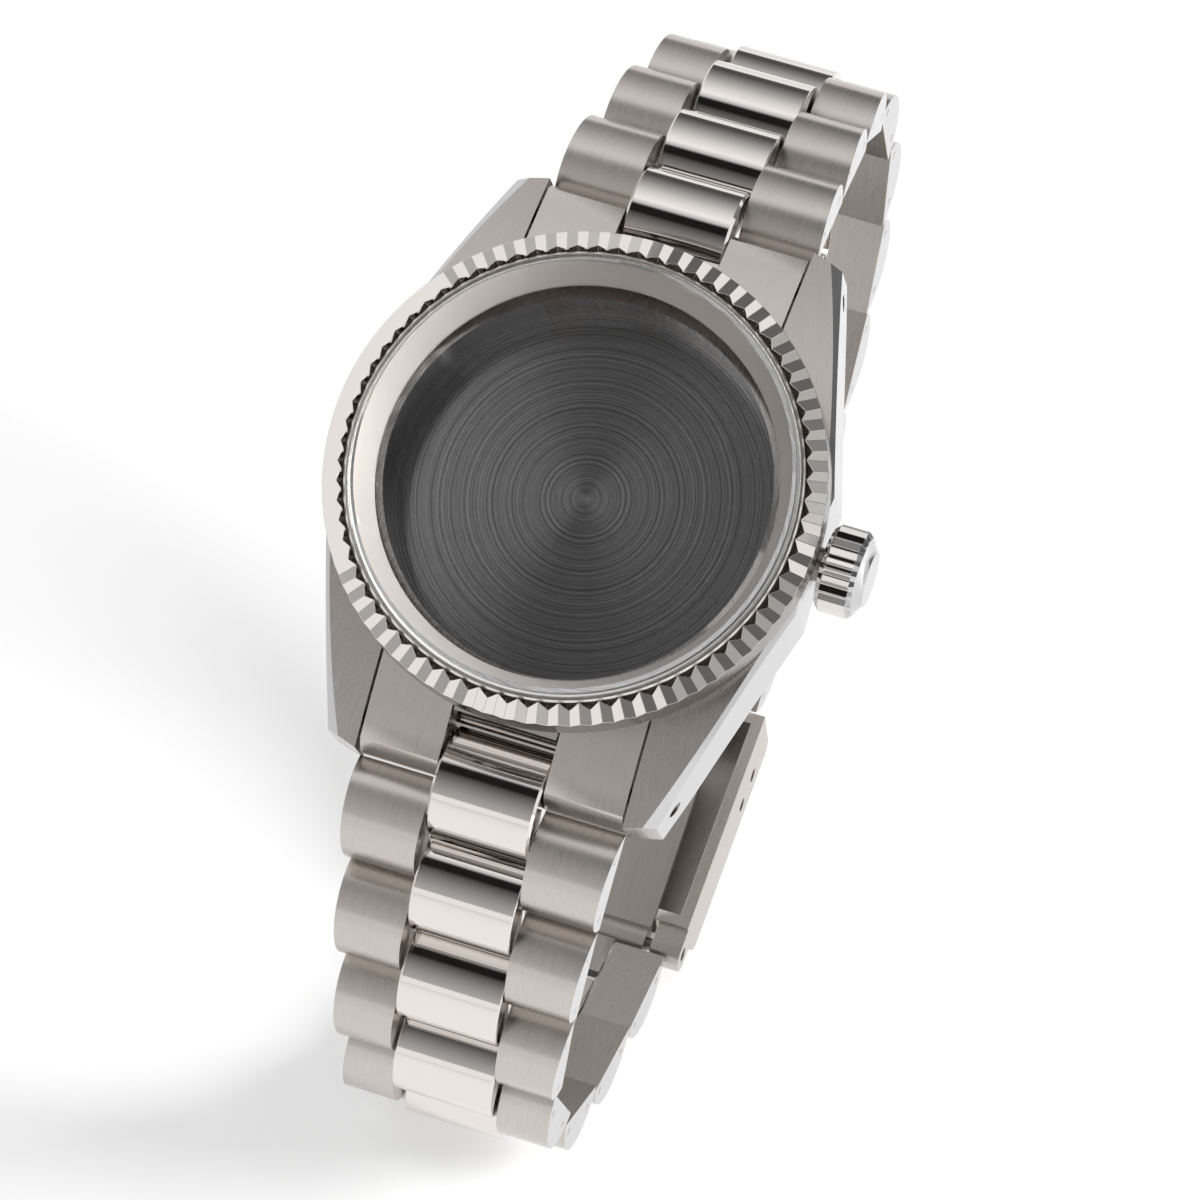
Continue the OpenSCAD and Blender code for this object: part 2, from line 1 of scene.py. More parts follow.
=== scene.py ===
# %% [markdown]
# # A steel watch case on a half-round link bracelet
# The finished CAD part is loaded first and stays where it is. Everything that
# is made here dresses it: rounded edges, polished and brushed steel, a crystal,
# a pale floor and a camera. All lengths are metres, and those of the watch are
# written as millimetres x MM.

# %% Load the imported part
import bpy, bmesh, json, math
from mathutils import Matrix, Vector


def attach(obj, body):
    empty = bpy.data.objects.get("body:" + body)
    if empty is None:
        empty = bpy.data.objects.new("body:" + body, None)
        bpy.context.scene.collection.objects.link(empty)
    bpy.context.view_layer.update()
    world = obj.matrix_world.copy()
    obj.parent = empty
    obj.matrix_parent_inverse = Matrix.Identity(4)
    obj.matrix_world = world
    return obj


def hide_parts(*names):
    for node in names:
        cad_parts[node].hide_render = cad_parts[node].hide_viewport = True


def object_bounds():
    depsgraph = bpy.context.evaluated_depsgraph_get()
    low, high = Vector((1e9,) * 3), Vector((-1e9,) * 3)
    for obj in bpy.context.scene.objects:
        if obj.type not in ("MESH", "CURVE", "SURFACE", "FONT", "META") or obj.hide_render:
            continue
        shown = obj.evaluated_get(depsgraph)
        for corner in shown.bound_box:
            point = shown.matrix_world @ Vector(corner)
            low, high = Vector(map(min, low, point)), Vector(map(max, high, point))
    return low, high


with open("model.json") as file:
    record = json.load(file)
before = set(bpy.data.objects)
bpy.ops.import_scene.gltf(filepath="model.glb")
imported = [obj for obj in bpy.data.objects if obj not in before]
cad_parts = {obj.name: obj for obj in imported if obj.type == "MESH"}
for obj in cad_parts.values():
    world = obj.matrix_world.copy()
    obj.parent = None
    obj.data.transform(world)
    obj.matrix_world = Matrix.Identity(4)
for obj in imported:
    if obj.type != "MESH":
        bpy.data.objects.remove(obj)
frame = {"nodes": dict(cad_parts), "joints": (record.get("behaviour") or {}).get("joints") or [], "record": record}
cad_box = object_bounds()
record = frame["record"]
joints = {j["name"]: j for j in frame["joints"]}
MM = 0.001

# %% [markdown]
# The watch stands on its lowest links, so the dial leans back. The flat face of
# the caseback says by how much. One matrix takes a point of the watch lying dial
# up, with the flutes' outer edge near height zero, to its place in the part.

# %% The leaning watch frame
back_axis = Vector(next(m for m in record["mounts"] if m["name"] == "caseback_face")["axis"])
TILT = math.atan2(back_axis.y, -back_axis.z)
DIAL_SEAT = -2.4 * MM
to_part = Matrix.Rotation(TILT, 4, "X") @ Matrix.Translation((0, 0, -DIAL_SEAT))
print("the dial leans by", round(math.degrees(TILT), 2), "degrees")

# %% [markdown]
# The camera looks from the photograph's side: a long lens, nearly square to the
# dial, a little from below and from the crown's side. Its three turns, in
# radians, and its shift were fitted to the bezel's rings and the rows of links.
# The fit gave the lens's focal length in pixels of the photograph.

# %% Camera
TURN_X, TURN_Y, TURN_Z = -0.1900, -0.1939, -0.2881
SHIFT = Vector((-1.8453, 8.6904, -450.0)) * MM
FOCAL_PX, PHOTO_PX, SENSOR_WIDTH = 6422.0, 1200, 36
turn = Matrix.Rotation(TURN_Z, 3, "Z") @ Matrix.Rotation(TURN_Y, 3, "Y") @ Matrix.Rotation(TURN_X, 3, "X")
camera = bpy.data.objects.new("camera", bpy.data.cameras.new("camera"))
bpy.context.scene.collection.objects.link(camera)
camera.data.lens = FOCAL_PX / PHOTO_PX * SENSOR_WIDTH
camera.data.clip_start, camera.data.clip_end = 0.01, 10
pose = turn.transposed().to_4x4()
pose.translation = turn.transposed() @ -SHIFT
camera.matrix_world = to_part @ pose
bpy.context.scene.camera = camera
print("camera at", [round(v, 3) for v in camera.matrix_world.translation])

# %% [markdown]
# Colours are written as the hex values that a screen shows. Blender calculates
# in linear light, so one function turns a hex value into that. Another adds a
# node to a tree. What it is given for an input may be another node's output,
# which is linked, or a plain value, which is set.

# %% Colour and node helpers
def linear(hex_colour):
    parts = [int(hex_colour[i:i + 2], 16) / 255 for i in (1, 3, 5)]
    return tuple(c / 12.92 if c <= 0.04045 else ((c + 0.055) / 1.055) ** 2.4 for c in parts) + (1.0,)


def node(tree, kind, inputs=None, **settings):
    """Adds a node, sets its properties, and fills its inputs with links or plain values."""
    made = tree.nodes.new(kind)
    for name, value in settings.items():
        setattr(made, name, value)
    for name, value in (inputs or {}).items():
        if isinstance(value, bpy.types.NodeSocket):
            tree.links.new(value, made.inputs[name])
        else:
            made.inputs[name].default_value = value
    return made


def new_material(name):
    material = bpy.data.materials.new(name)
    material.use_nodes = True
    material.node_tree.nodes.clear()
    return material, material.node_tree


print("middle grey is", [round(c, 3) for c in linear("#808080")])

# %% [markdown]
# Brushed steel is steel drawn over an abrasive belt. The belt leaves long fine
# scratches that run along the bracelet, so the surface is dull across them and
# smears each highlight sideways. Noise that changes fast across the watch, along
# X, and slowly in the other two directions gives scratches that run the right
# way on every row, whatever its turn. It drives a shallow bump and a small
# change of tone and roughness. A belt's scratches are about 0.02 mm apart, too
# fine for the picture, so they are drawn coarser. On the case the belt was held
# askew, a mirror image on each side, which the slant gives. The tangent, the way
# that the scratches run, is the cross product of the surface's normal and the X
# axis, and a quarter turn of it smears the light across the scratches.

# %% Brushed steel
SCRATCH_LENGTH = 50  # times as long as they are wide
ROUGH_SPREAD = 0.03
BUMP_HEIGHT = 0.004 * MM
NOISE_LOW, NOISE_HIGH = 0.3, 0.7
QUARTER_TURN = 0.25


def brushed_steel(name, tone, light, rough, spacing=0.07, depth=0.45, smear=0.5, slant=0.0):
    material, tree = new_material(name)
    place = node(tree, "ShaderNodeTexCoord").outputs["Object"]
    split = node(tree, "ShaderNodeSeparateXYZ", {0: place}).outputs
    mirrored = node(tree, "ShaderNodeMath", {0: split["X"]}, operation="ABSOLUTE").outputs[0]
    shear = node(tree, "ShaderNodeMath", {0: split["Y"], 1: slant}, operation="MULTIPLY").outputs[0]
    across = node(tree, "ShaderNodeMath", {0: mirrored, 1: shear}, operation="ADD").outputs[0]
    place = node(tree, "ShaderNodeCombineXYZ", {"X": across, "Y": split["Y"], "Z": split["Z"]}).outputs[0]
    fine = 1 / (spacing * MM)
    slow = fine / SCRATCH_LENGTH
    place = node(tree, "ShaderNodeVectorMath", {0: place, 1: (fine, slow, slow)},
        operation="MULTIPLY").outputs[0]
    lines = node(tree, "ShaderNodeTexNoise",
        {"Vector": place, "Scale": 1.0, "Detail": 3.0, "Roughness": 0.65}).outputs["Fac"]
    colour = node(tree, "ShaderNodeMixRGB",
        {"Fac": lines, "Color1": linear(tone), "Color2": linear(light)}).outputs[0]
    dull = node(tree, "ShaderNodeMapRange", {"Value": lines, "From Min": NOISE_LOW, "From Max": NOISE_HIGH,
        "To Min": rough - ROUGH_SPREAD, "To Max": rough + ROUGH_SPREAD}).outputs[0]
    bump = node(tree, "ShaderNodeBump",
        {"Height": lines, "Strength": depth, "Distance": BUMP_HEIGHT}).outputs["Normal"]
    face = node(tree, "ShaderNodeNewGeometry").outputs["Normal"]
    run = node(tree, "ShaderNodeVectorMath", {0: face, 1: (1, 0, 0)}, operation="CROSS_PRODUCT").outputs[0]
    run = node(tree, "ShaderNodeVectorMath", {0: run}, operation="NORMALIZE").outputs[0]
    steel = node(tree, "ShaderNodeBsdfPrincipled", {"Base Color": colour, "Roughness": dull, "Normal": bump,
        "Tangent": run, "Metallic": 1.0, "Anisotropic": smear, "Anisotropic Rotation": QUARTER_TURN})
    node(tree, "ShaderNodeOutputMaterial", {"Surface": steel.outputs[0]})
    return material


# The links' scratches are fine and faint, the case's are stronger, and the inner faces are plainly satin.
LINK_STEEL = brushed_steel("brushed_link_steel", "#bbb4ae", "#d5cfca", 0.29, 0.045, 0.2, 0.6)
CASE_STEEL = brushed_steel("brushed_case_steel", "#a7a09b", "#c6c0bb", 0.27, 0.06, 0.3, 0.7, 0.3)
INNER_STEEL = brushed_steel("satin_inner_steel", "#a9a5a0", "#c6c2be", 0.36)
print("brushed", [m.name for m in (LINK_STEEL, CASE_STEEL, INNER_STEEL)])

# %% [markdown]
# Polished steel has been buffed to a mirror. It shows the studio itself, a little
# softened, with a very faint haze of wiping marks, about one in a millimetre.
# Ground and satin steel are made the same way with more roughness. Fine bead
# blasting gives the sloping ring under the crystal a whitish skin, which scatters
# light much as a paint does, so that one is only partly metallic.

# %% Polished, ground and blasted steel
WIPES_IN_MM = 0.9
LEAST_HAZE, MOST_HAZE = 0.7, 1.4  # shares of the roughness


def polished_steel(name, tone, rough, metallic=1.0):
    material, tree = new_material(name)
    place = node(tree, "ShaderNodeTexCoord").outputs["Object"]
    haze = node(tree, "ShaderNodeTexNoise",
        {"Vector": place, "Scale": WIPES_IN_MM / MM, "Detail": 3.0}).outputs["Fac"]
    dull = node(tree, "ShaderNodeMapRange",
        {"Value": haze, "To Min": rough * LEAST_HAZE, "To Max": rough * MOST_HAZE}).outputs[0]
    steel = node(tree, "ShaderNodeBsdfPrincipled",
        {"Base Color": linear(tone), "Metallic": metallic, "Roughness": dull})
    node(tree, "ShaderNodeOutputMaterial", {"Surface": steel.outputs[0]})
    return material


# Only the first is a mirror. The pins are ground, the ring and the flanks satin, and the rehaut is blasted.
BRIGHT_STEEL = polished_steel("polished_steel", "#e4dfdb", 0.06)
# The pins' dark ground steel also serves as painted shade on the bezel's side wall.
PIN_AND_SHADE_STEEL = polished_steel("ground_pin_steel_and_painted_shade", "#8f8b88", 0.25)
RING_STEEL = polished_steel("satin_ring_steel", "#d8d3cf", 0.2)
FLANK_STEEL = polished_steel("satin_flank_steel", "#c6c5c6", 0.16)
REHAUT_STEEL = polished_steel("blasted_rehaut_steel", "#dfd7d1", 0.38, 0.5)
print("polished", [m.name for m in (BRIGHT_STEEL, PIN_AND_SHADE_STEEL, RING_STEEL, FLANK_STEEL, REHAUT_STEEL)])

# %% [markdown]
# The inside of the back was turned on a lathe. The tool leaves rings round the
# middle, and rings shine as two fans of light that cross at the centre. The
# rings come from noise that only changes with the distance from the axis, drawn
# about twice as coarse as a real cut of 0.1 mm. Their bump is shallow. The
# tangent, the way that the grooves run, is the cross product of the axis and the
# place on the disc. A quarter turn of it smears the light across them.

# %% Turned steel
RING_SPACING = 0.2 * MM


def turned_steel(name, tone, light, rough):
    material, tree = new_material(name)
    place = node(tree, "ShaderNodeTexCoord").outputs["Object"]
    level = node(tree, "ShaderNodeMapping", {"Vector": place, "Rotation": (-TILT, 0, 0)},
        vector_type="POINT").outputs["Vector"]
    flat = node(tree, "ShaderNodeVectorMath", {0: level, 1: (1, 1, 0)}, operation="MULTIPLY").outputs[0]
    radius = node(tree, "ShaderNodeVectorMath", {0: flat}, operation="LENGTH").outputs["Value"]
    rings = node(tree, "ShaderNodeTexNoise", {"W": radius, "Scale": 1 / RING_SPACING, "Detail": 3.0,
        "Roughness": 0.7}, noise_dimensions="1D").outputs["Fac"]
    share = node(tree, "ShaderNodeMapRange",
        {"Value": rings, "From Min": NOISE_LOW, "From Max": NOISE_HIGH}).outputs[0]
    colour = node(tree, "ShaderNodeMixRGB",
        {"Fac": share, "Color1": linear(tone), "Color2": linear(light)}).outputs[0]
    axis = to_part.to_3x3() @ Vector((0, 0, 1))
    groove = node(tree, "ShaderNodeVectorMath", {0: tuple(axis), 1: place},
        operation="CROSS_PRODUCT").outputs[0]
    groove = node(tree, "ShaderNodeVectorMath", {0: groove}, operation="NORMALIZE").outputs[0]
    bump = node(tree, "ShaderNodeBump",
        {"Height": rings, "Strength": 0.3, "Distance": BUMP_HEIGHT}).outputs["Normal"]
    steel = node(tree, "ShaderNodeBsdfPrincipled", {"Base Color": colour, "Tangent": groove, "Normal": bump,
        "Metallic": 1.0, "Roughness": rough, "Anisotropic": 0.86, "Anisotropic Rotation": QUARTER_TURN})
    node(tree, "ShaderNodeOutputMaterial", {"Surface": steel.outputs[0]})
    return material


DISC_STEEL = turned_steel("turned_back_steel", "#8e8d8c", "#c8c8ca", 0.19)
print("turned", DISC_STEEL.name)

# %% [markdown]
# Sapphire crystal is clear and hard, with a strong reflection for a glass. It is
# real refracting glass to the eye, and lets light through to what is below it.
# The seals are moulded: white nylon under the crystal and black rubber in the
# back and the crown, both matt, with a faint grain that stops a plastic gleam.

# %% Crystal and seals
GRAIN, GRAIN_HEIGHT = 0.25 * MM, 0.01 * MM


def clear_crystal(name):
    material, tree = new_material(name)
    glass = node(tree, "ShaderNodeBsdfPrincipled",
        {"Base Color": linear("#ffffff"), "Roughness": 0.0, "IOR": 1.77, "Transmission Weight": 1.0})
    through = node(tree, "ShaderNodeBsdfTransparent", {"Color": linear("#fcfdfd")})
    shadow = node(tree, "ShaderNodeLightPath").outputs["Is Shadow Ray"]
    both = node(tree, "ShaderNodeMixShader", {0: shadow, 1: glass.outputs[0], 2: through.outputs[0]})
    node(tree, "ShaderNodeOutputMaterial", {"Surface": both.outputs[0]})
    return material


def moulded(name, tone, rough):
    material, tree = new_material(name)
    place = node(tree, "ShaderNodeTexCoord").outputs["Object"]
    grain = node(tree, "ShaderNodeTexNoise", {"Vector": place, "Scale": 1 / GRAIN}).outputs["Fac"]
    bump = node(tree, "ShaderNodeBump",
        {"Height": grain, "Strength": 0.2, "Distance": GRAIN_HEIGHT}).outputs["Normal"]
    body = node(tree, "ShaderNodeBsdfPrincipled",
        {"Normal": bump, "Base Color": linear(tone), "Roughness": rough})
    node(tree, "ShaderNodeOutputMaterial", {"Surface": body.outputs[0]})
    return material


CRYSTAL = clear_crystal("sapphire_crystal")
NYLON = moulded("moulded_nylon", "#dddbd6", 0.5)
RUBBER = moulded("moulded_rubber", "#151515", 0.6)
print("materials", len(bpy.data.materials))

# %% [markdown]
# Most solids already have the right shape. A copy of each gets its loose
# triangles merged, its flat faces joined and its edges rounded by a small bevel,
# because no real edge is perfectly sharp: the bevel is what catches the light.

# %% Dress a CAD solid
SAME_POINT = 0.0004 * MM
FLAT_ANGLE, DRESS_ANGLE = 0.5, 30  # degrees
body_of = {n: b for b, ns in record["behaviour"]["bodies"].items() for n in ns}


def new_piece(name, mesh):
    piece = bpy.data.objects.new(name, mesh)
    bpy.context.scene.collection.objects.link(piece)
    return piece


def settle(piece, cad_node, material):
    """Gives a piece its material and body, and lets it stand for a CAD node."""
    piece.data.materials.clear()
    piece.data.materials.append(material)
    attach(piece, body_of[cad_node])
    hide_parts(cad_node)
    return piece


def round_edges(piece, width, angle):
    """Shades a piece smooth and bevels its edges that are sharper than the angle."""
    for polygon in piece.data.polygons:
        polygon.use_smooth = True
    piece.data.set_sharp_from_angle(angle=math.radians(angle))
    if width:
        bevel = piece.modifiers.new("edges", "BEVEL")
        bevel.width, bevel.segments, bevel.limit_method = width, 2, "ANGLE"
        bevel.angle_limit, bevel.harden_normals = math.radians(angle), True
        bevel.use_clamp_overlap = True


def dress(cad_node, material, width):
    work = bmesh.new()
    work.from_mesh(frame["nodes"][cad_node].data)
    bmesh.ops.remove_doubles(work, verts=work.verts, dist=SAME_POINT)
    bmesh.ops.dissolve_limit(work, angle_limit=math.radians(FLAT_ANGLE), verts=work.verts, edges=work.edges)
    mesh = bpy.data.meshes.new(cad_node + "_dressed")
    work.to_mesh(mesh)
    work.free()
    piece = new_piece(cad_node + "_finish", mesh)
    round_edges(piece, width * MM, DRESS_ANGLE)
    return settle(piece, cad_node, material)


dressed = {}
for cad_node, material, width in (
        ("case_middle", CASE_STEEL, 0.07),
        ("end_link_12", LINK_STEEL, 0.06), ("end_link_6", LINK_STEEL, 0.06),
        ("end_centre_12", BRIGHT_STEEL, 0), ("end_centre_6", BRIGHT_STEEL, 0), ("caseback", DISC_STEEL, 0),
        ("clasp_cover", LINK_STEEL, 0.1), ("blade_long", INNER_STEEL, 0), ("blade_short", INNER_STEEL, 0),
        ("tension_ring", RING_STEEL, 0.03), ("rehaut_ring", REHAUT_STEEL, 0.03),
        ("centre_link_6_7", BRIGHT_STEEL, 0)):
    dressed[cad_node] = dress(cad_node, material, width)
print("dressed", len(dressed), "solids")

# %% [markdown]
# One solid can have two finishes: the maker brushes the case's top and leaves its
# flanks satin, and masks what the wheel must not touch. A finish is given to the
# faces that lie or look a certain way, seen in the lying watch. The end links are
# also made 0.1 mm narrower a side, so that the line to each lug is as dark as on
# the real one.

# %% Second finishes
SIDEWAYS, LEVEL = 0.5, 0.9  # shares of a face's direction
CASE_LOW, BACK_LOW, END_BAR_HALF = -5, -4, 4.02  # millimetres
END_LINK_FIT = 0.989


def refinish(piece, material, wanted):
    """Gives another finish to the faces that wanted() picks by middle and direction in the lying watch."""
    piece.data.materials.append(material)
    last, found, level = len(piece.data.materials) - 1, 0, to_part.inverted()
    for face in piece.data.polygons:
        if wanted(level @ face.center / MM, level.to_3x3() @ face.normal):
            face.material_index, found = last, found + 1
    print(piece.name, "refinished faces", found)


refinish(dressed["case_middle"], FLANK_STEEL,
    lambda middle, way: abs(way.x) > SIDEWAYS or way.z < LEVEL and middle.z > CASE_LOW)
refinish(dressed["caseback"], CASE_STEEL, lambda middle, way: way.z < -LEVEL and middle.z < BACK_LOW)
for side in (12, 6):
    refinish(dressed[f"end_link_{side}"], BRIGHT_STEEL, lambda middle, way: abs(middle.x) < END_BAR_HALF)
    dressed[f"end_link_{side}"].data.transform(Matrix.Diagonal((END_LINK_FIT, 1, 1, 1)))

# %% [markdown]
# A Geometry Nodes tree is a small machine: named inputs go in, a mesh comes out.
# One helper makes a tree with its inputs, and another runs it once and keeps the
# result as a plain mesh, so that nothing live is left on the piece.

# %% Tree helpers
KINDS = {float: "NodeSocketFloat", int: "NodeSocketInt", bool: "NodeSocketBool"}


def new_tree(name, inputs, objects=()):
    tree = bpy.data.node_groups.new(name, "GeometryNodeTree")
    tree.interface.new_socket(name="Mesh", in_out="OUTPUT", socket_type="NodeSocketGeometry")
    for label, value in inputs.items():
        made = tree.interface.new_socket(name=label, in_out="INPUT", socket_type=KINDS[type(value)])
        made.default_value = value
    for label in objects:
        tree.interface.new_socket(name=label, in_out="INPUT", socket_type="NodeSocketObject")
    tree.interface.new_socket(name="Material", in_out="INPUT", socket_type="NodeSocketMaterial")
    return tree, node(tree, "NodeGroupInput").outputs


def end_tree(tree, mesh, material):
    whole = node(tree, "GeometryNodeRealizeInstances", {0: mesh}).outputs[0]
    whole = node(tree, "GeometryNodeSetMaterial", {"Geometry": whole, "Material": material}).outputs[0]
    node(tree, "NodeGroupOutput", {"Mesh": whole})
    print(tree.name, "nodes", len(tree.nodes))


def run_tree(tree, name, values):
    """Runs a tree once and returns its result as a plain mesh."""
    holder = new_piece(name + "_holder", bpy.data.meshes.new(name))
    machine = holder.modifiers.new("machine", "NODES")
    machine.node_group = tree
    for item in tree.interface.items_tree:
        if item.in_out == "INPUT" and item.name in values:
            machine[item.identifier] = values[item.name]
    ready = holder.evaluated_get(bpy.context.evaluated_depsgraph_get())
    mesh = bpy.data.meshes.new_from_object(ready)
    mesh.name = name
    bpy.data.objects.remove(holder)
    return mesh


# %% [markdown]
# The bezel and the crown are turned on a lathe and then fluted: a cutter takes
# the same V out again and again round the edge. Both follow one rule, so one
# tree makes both. It bends a grid into a ring. A small curve gives the ring's
# section: its X is the radius, its Z the height, and its Y says how far a flute
# reaches that point. Every other column of the grid is a valley. A valley is
# moved down by its reach, and towards the axis by the square of its reach, or
# away from it where Depth In is below zero. So the bezel's flutes are deep at
# their inner end and nearly gone at their outer one.

# %% Fluted ring tree
SEAM = 0.001 * MM


def fluted_ring_tree():
    tree, into = new_tree("fluted_ring",
        {"Flutes": 72, "Section Points": 8, "Depth In": 0.0, "Depth Down": 0.0}, ["Section"])
    points = into["Section Points"]
    columns = node(tree, "ShaderNodeMath", {0: into["Flutes"], 1: 2}, operation="MULTIPLY").outputs[0]
    posts = node(tree, "ShaderNodeMath", {0: columns, 1: 1}, operation="ADD").outputs[0]
    grid = node(tree, "GeometryNodeMeshGrid", {"Vertices X": posts, "Vertices Y": points}).outputs["Mesh"]
    # A point's number in the grid gives its column round the ring and its row along the section.
    index = node(tree, "GeometryNodeInputIndex").outputs[0]
    column = node(tree, "ShaderNodeMath", {0: index, 1: 0.5}, operation="ADD").outputs[0]
    column = node(tree, "ShaderNodeMath", {0: column, 1: points}, operation="DIVIDE").outputs[0]
    column = node(tree, "ShaderNodeMath", {0: column}, operation="FLOOR").outputs[0]
    row = node(tree, "ShaderNodeMath", {0: column, 1: points}, operation="MULTIPLY").outputs[0]
    row = node(tree, "ShaderNodeMath", {0: index, 1: row}, operation="SUBTRACT").outputs[0]
    section = node(tree, "GeometryNodeObjectInfo", {"Object": into["Section"]}).outputs["Geometry"]
    place = node(tree, "GeometryNodeInputPosition").outputs[0]
    point = node(tree, "GeometryNodeSampleIndex", {"Geometry": section, "Value": place, "Index": row},
        data_type="FLOAT_VECTOR", domain="POINT")
    point = node(tree, "ShaderNodeSeparateXYZ", {0: [s for s in point.outputs if s.enabled][0]}).outputs
    # Odd columns are valleys.
    valley = node(tree, "ShaderNodeMath", {0: column, 1: 2}, operation="MODULO").outputs[0]
    valley = node(tree, "ShaderNodeMath", {0: valley, 1: point["Y"]}, operation="MULTIPLY").outputs[0]
    inwards = node(tree, "ShaderNodeMath", {0: valley, 1: valley}, operation="MULTIPLY").outputs[0]
    inwards = node(tree, "ShaderNodeMath", {0: inwards, 1: into["Depth In"]}, operation="MULTIPLY").outputs[0]
    radius = node(tree, "ShaderNodeMath", {0: point["X"], 1: inwards}, operation="SUBTRACT").outputs[0]
    down = node(tree, "ShaderNodeMath", {0: valley, 1: into["Depth Down"]}, operation="MULTIPLY").outputs[0]
    height = node(tree, "ShaderNodeMath", {0: point["Z"], 1: down}, operation="SUBTRACT").outputs[0]
    angle = node(tree, "ShaderNodeMath", {0: column, 1: columns}, operation="DIVIDE").outputs[0]
    angle = node(tree, "ShaderNodeMath", {0: angle, 1: math.tau}, operation="MULTIPLY").outputs[0]
    x = node(tree, "ShaderNodeMath", {0: angle}, operation="COSINE").outputs[0]
    x = node(tree, "ShaderNodeMath", {0: radius, 1: x}, operation="MULTIPLY").outputs[0]
    y = node(tree, "ShaderNodeMath", {0: angle}, operation="SINE").outputs[0]
    y = node(tree, "ShaderNodeMath", {0: radius, 1: y}, operation="MULTIPLY").outputs[0]
    spot = node(tree, "ShaderNodeCombineXYZ", {"X": x, "Y": y, "Z": height}).outputs[0]
    ring = node(tree, "GeometryNodeSetPosition", {"Geometry": grid, "Position": spot}).outputs[0]
    ring = node(tree, "GeometryNodeMergeByDistance", {"Geometry": ring, "Distance": SEAM}).outputs[0]
    end_tree(tree, ring, into["Material"])
    return tree


RING = fluted_ring_tree()

# %% [markdown]
# The sections are drawn in the lying watch, as (radius, height, reach) points in
# millimetres. The bezel's starts at its foot and goes up its side, over the
# fluted top and down its inner wall. The crown's starts in the hole for its tube
# and goes out over the grip and the stepped cap to the middle. The crown lies on
# its side, so its height runs along X. The bezel's side wall is painted dark with
# the pins' ground steel, as painted shade, and the crown's cap is satin.

# %% Bezel and crown
BEZEL_R, RIM_R, NECK_R = 17.95, 16.45, 17.07
RIM_TOP, EDGE_TOP, SEAT, FOOT, FOOT_CHAMFER = 0.55, -0.04, -1.13, -2.43, 0.15
BEZEL_SECTION = [(NECK_R, FOOT, 0), (BEZEL_R - FOOT_CHAMFER, FOOT, 0), (BEZEL_R, FOOT + FOOT_CHAMFER, 0),
    (BEZEL_R, -0.8, 0), (BEZEL_R - 0.05, EDGE_TOP, 0.35), (RIM_R, RIM_TOP, 1), (RIM_R, -0.3, 0),
    (RIM_R, SEAT, 0), (NECK_R, SEAT, 0), (NECK_R, FOOT, 0)]
BEZEL_FLUTES, BEZEL_IN, BEZEL_DOWN = 72, -0.42, 0.52
CROWN_R, TUBE_HOLE_R, GRIP_TOP, CAP_TOP = 3.2, 0.86, 2.35, 3.3
CROWN_SECTION = [(TUBE_HOLE_R, 1.0, 0), (TUBE_HOLE_R, 0, 0), (2.85, 0, 0), (CROWN_R, 0.35, 1),
    (CROWN_R, GRIP_TOP, 1), (2.82, 2.72, 0), (2.3, 3.0, 0), (2.1, 3.15, 0), (2.0, CAP_TOP, 0),
    (0.0, CAP_TOP, 0)]
CROWN_FLUTES, CROWN_IN = 24, 0.35
CROWN_START, CROWN_HEIGHT = 18.15, -5.4
FLUTE_ANGLE, RING_EDGE, CROWN_EDGE = 22, 0.03, 0.04
WALL_RISE, WALL_R, CAP_WAY = 0.3, 17.5, 0.3  # what counts as the bezel's side wall and the crown's cap


def section_curve(name, points):
    """A curve through (radius, height, reach) points. Reach goes from 0 to 1 and isn't a length."""
    curve = bpy.data.curves.new(name, "CURVE")
    curve.dimensions = "3D"
    line = curve.splines.new("POLY")
    line.points.add(len(points) - 1)
    for spot, (radius, height, reach) in zip(line.points, points):
        spot.co = (radius * MM, reach, height * MM, 1)
    return new_piece(name, curve)


def close_ring(mesh):
    """Merges the ring's poles and turns its faces outwards."""
    work = bmesh.new()
    work.from_mesh(mesh)
    bmesh.ops.remove_doubles(work, verts=work.verts, dist=SEAM)
    bmesh.ops.dissolve_degenerate(work, dist=SEAM / 2, edges=work.edges)
    bmesh.ops.recalc_face_normals(work, faces=work.faces)
    work.to_mesh(mesh)
    work.free()


def fluted_piece(cad_node, points, flutes, depth_in, depth_down, place, edge):
    section = section_curve(cad_node + "_section", points)
    mesh = run_tree(RING, cad_node + "_fluted", {"Flutes": flutes, "Section Points": len(points),
        "Section": section, "Depth In": depth_in * MM, "Depth Down": depth_down * MM,
        "Material": BRIGHT_STEEL})
    bpy.data.objects.remove(section)
    close_ring(mesh)
    mesh.transform(place)
    piece = new_piece(cad_node + "_fluted", mesh)
    round_edges(piece, edge * MM, FLUTE_ANGLE)
    settle(piece, cad_node, BRIGHT_STEEL)
    print(cad_node, "faces", len(mesh.polygons), "size", [round(v / MM, 2) for v in piece.dimensions])
    return piece


bezel = fluted_piece("bezel", BEZEL_SECTION, BEZEL_FLUTES, BEZEL_IN, BEZEL_DOWN, to_part, RING_EDGE)
# Painted shade: the bezel's side wall gets the pins' dark steel in place of the white floor it would mirror.
refinish(bezel, PIN_AND_SHADE_STEEL, lambda middle, way: abs(way.z) < WALL_RISE and middle.xy.length > WALL_R)
crown_place = to_part @ Matrix.Translation((CROWN_START * MM, 0, CROWN_HEIGHT * MM))
crown_place = crown_place @ Matrix.Rotation(math.pi / 2, 4, "Y")
crown = fluted_piece("crown", CROWN_SECTION, CROWN_FLUTES, CROWN_IN, 0, crown_place, CROWN_EDGE)
refinish(crown, FLANK_STEEL, lambda middle, way: way.x > CAP_WAY)

# %% [markdown]
# Every link is the same half-round bar, sawn to length: an arc over a flat base.
# A tree draws the arc, fills it and pulls it out sideways. For the outer links
# it makes the mirrored one too and slants the outer sides, because the bracelet
# gets narrower away from the case. Along and out are measured from the row's
# first pin, along the row and away from the wrist.

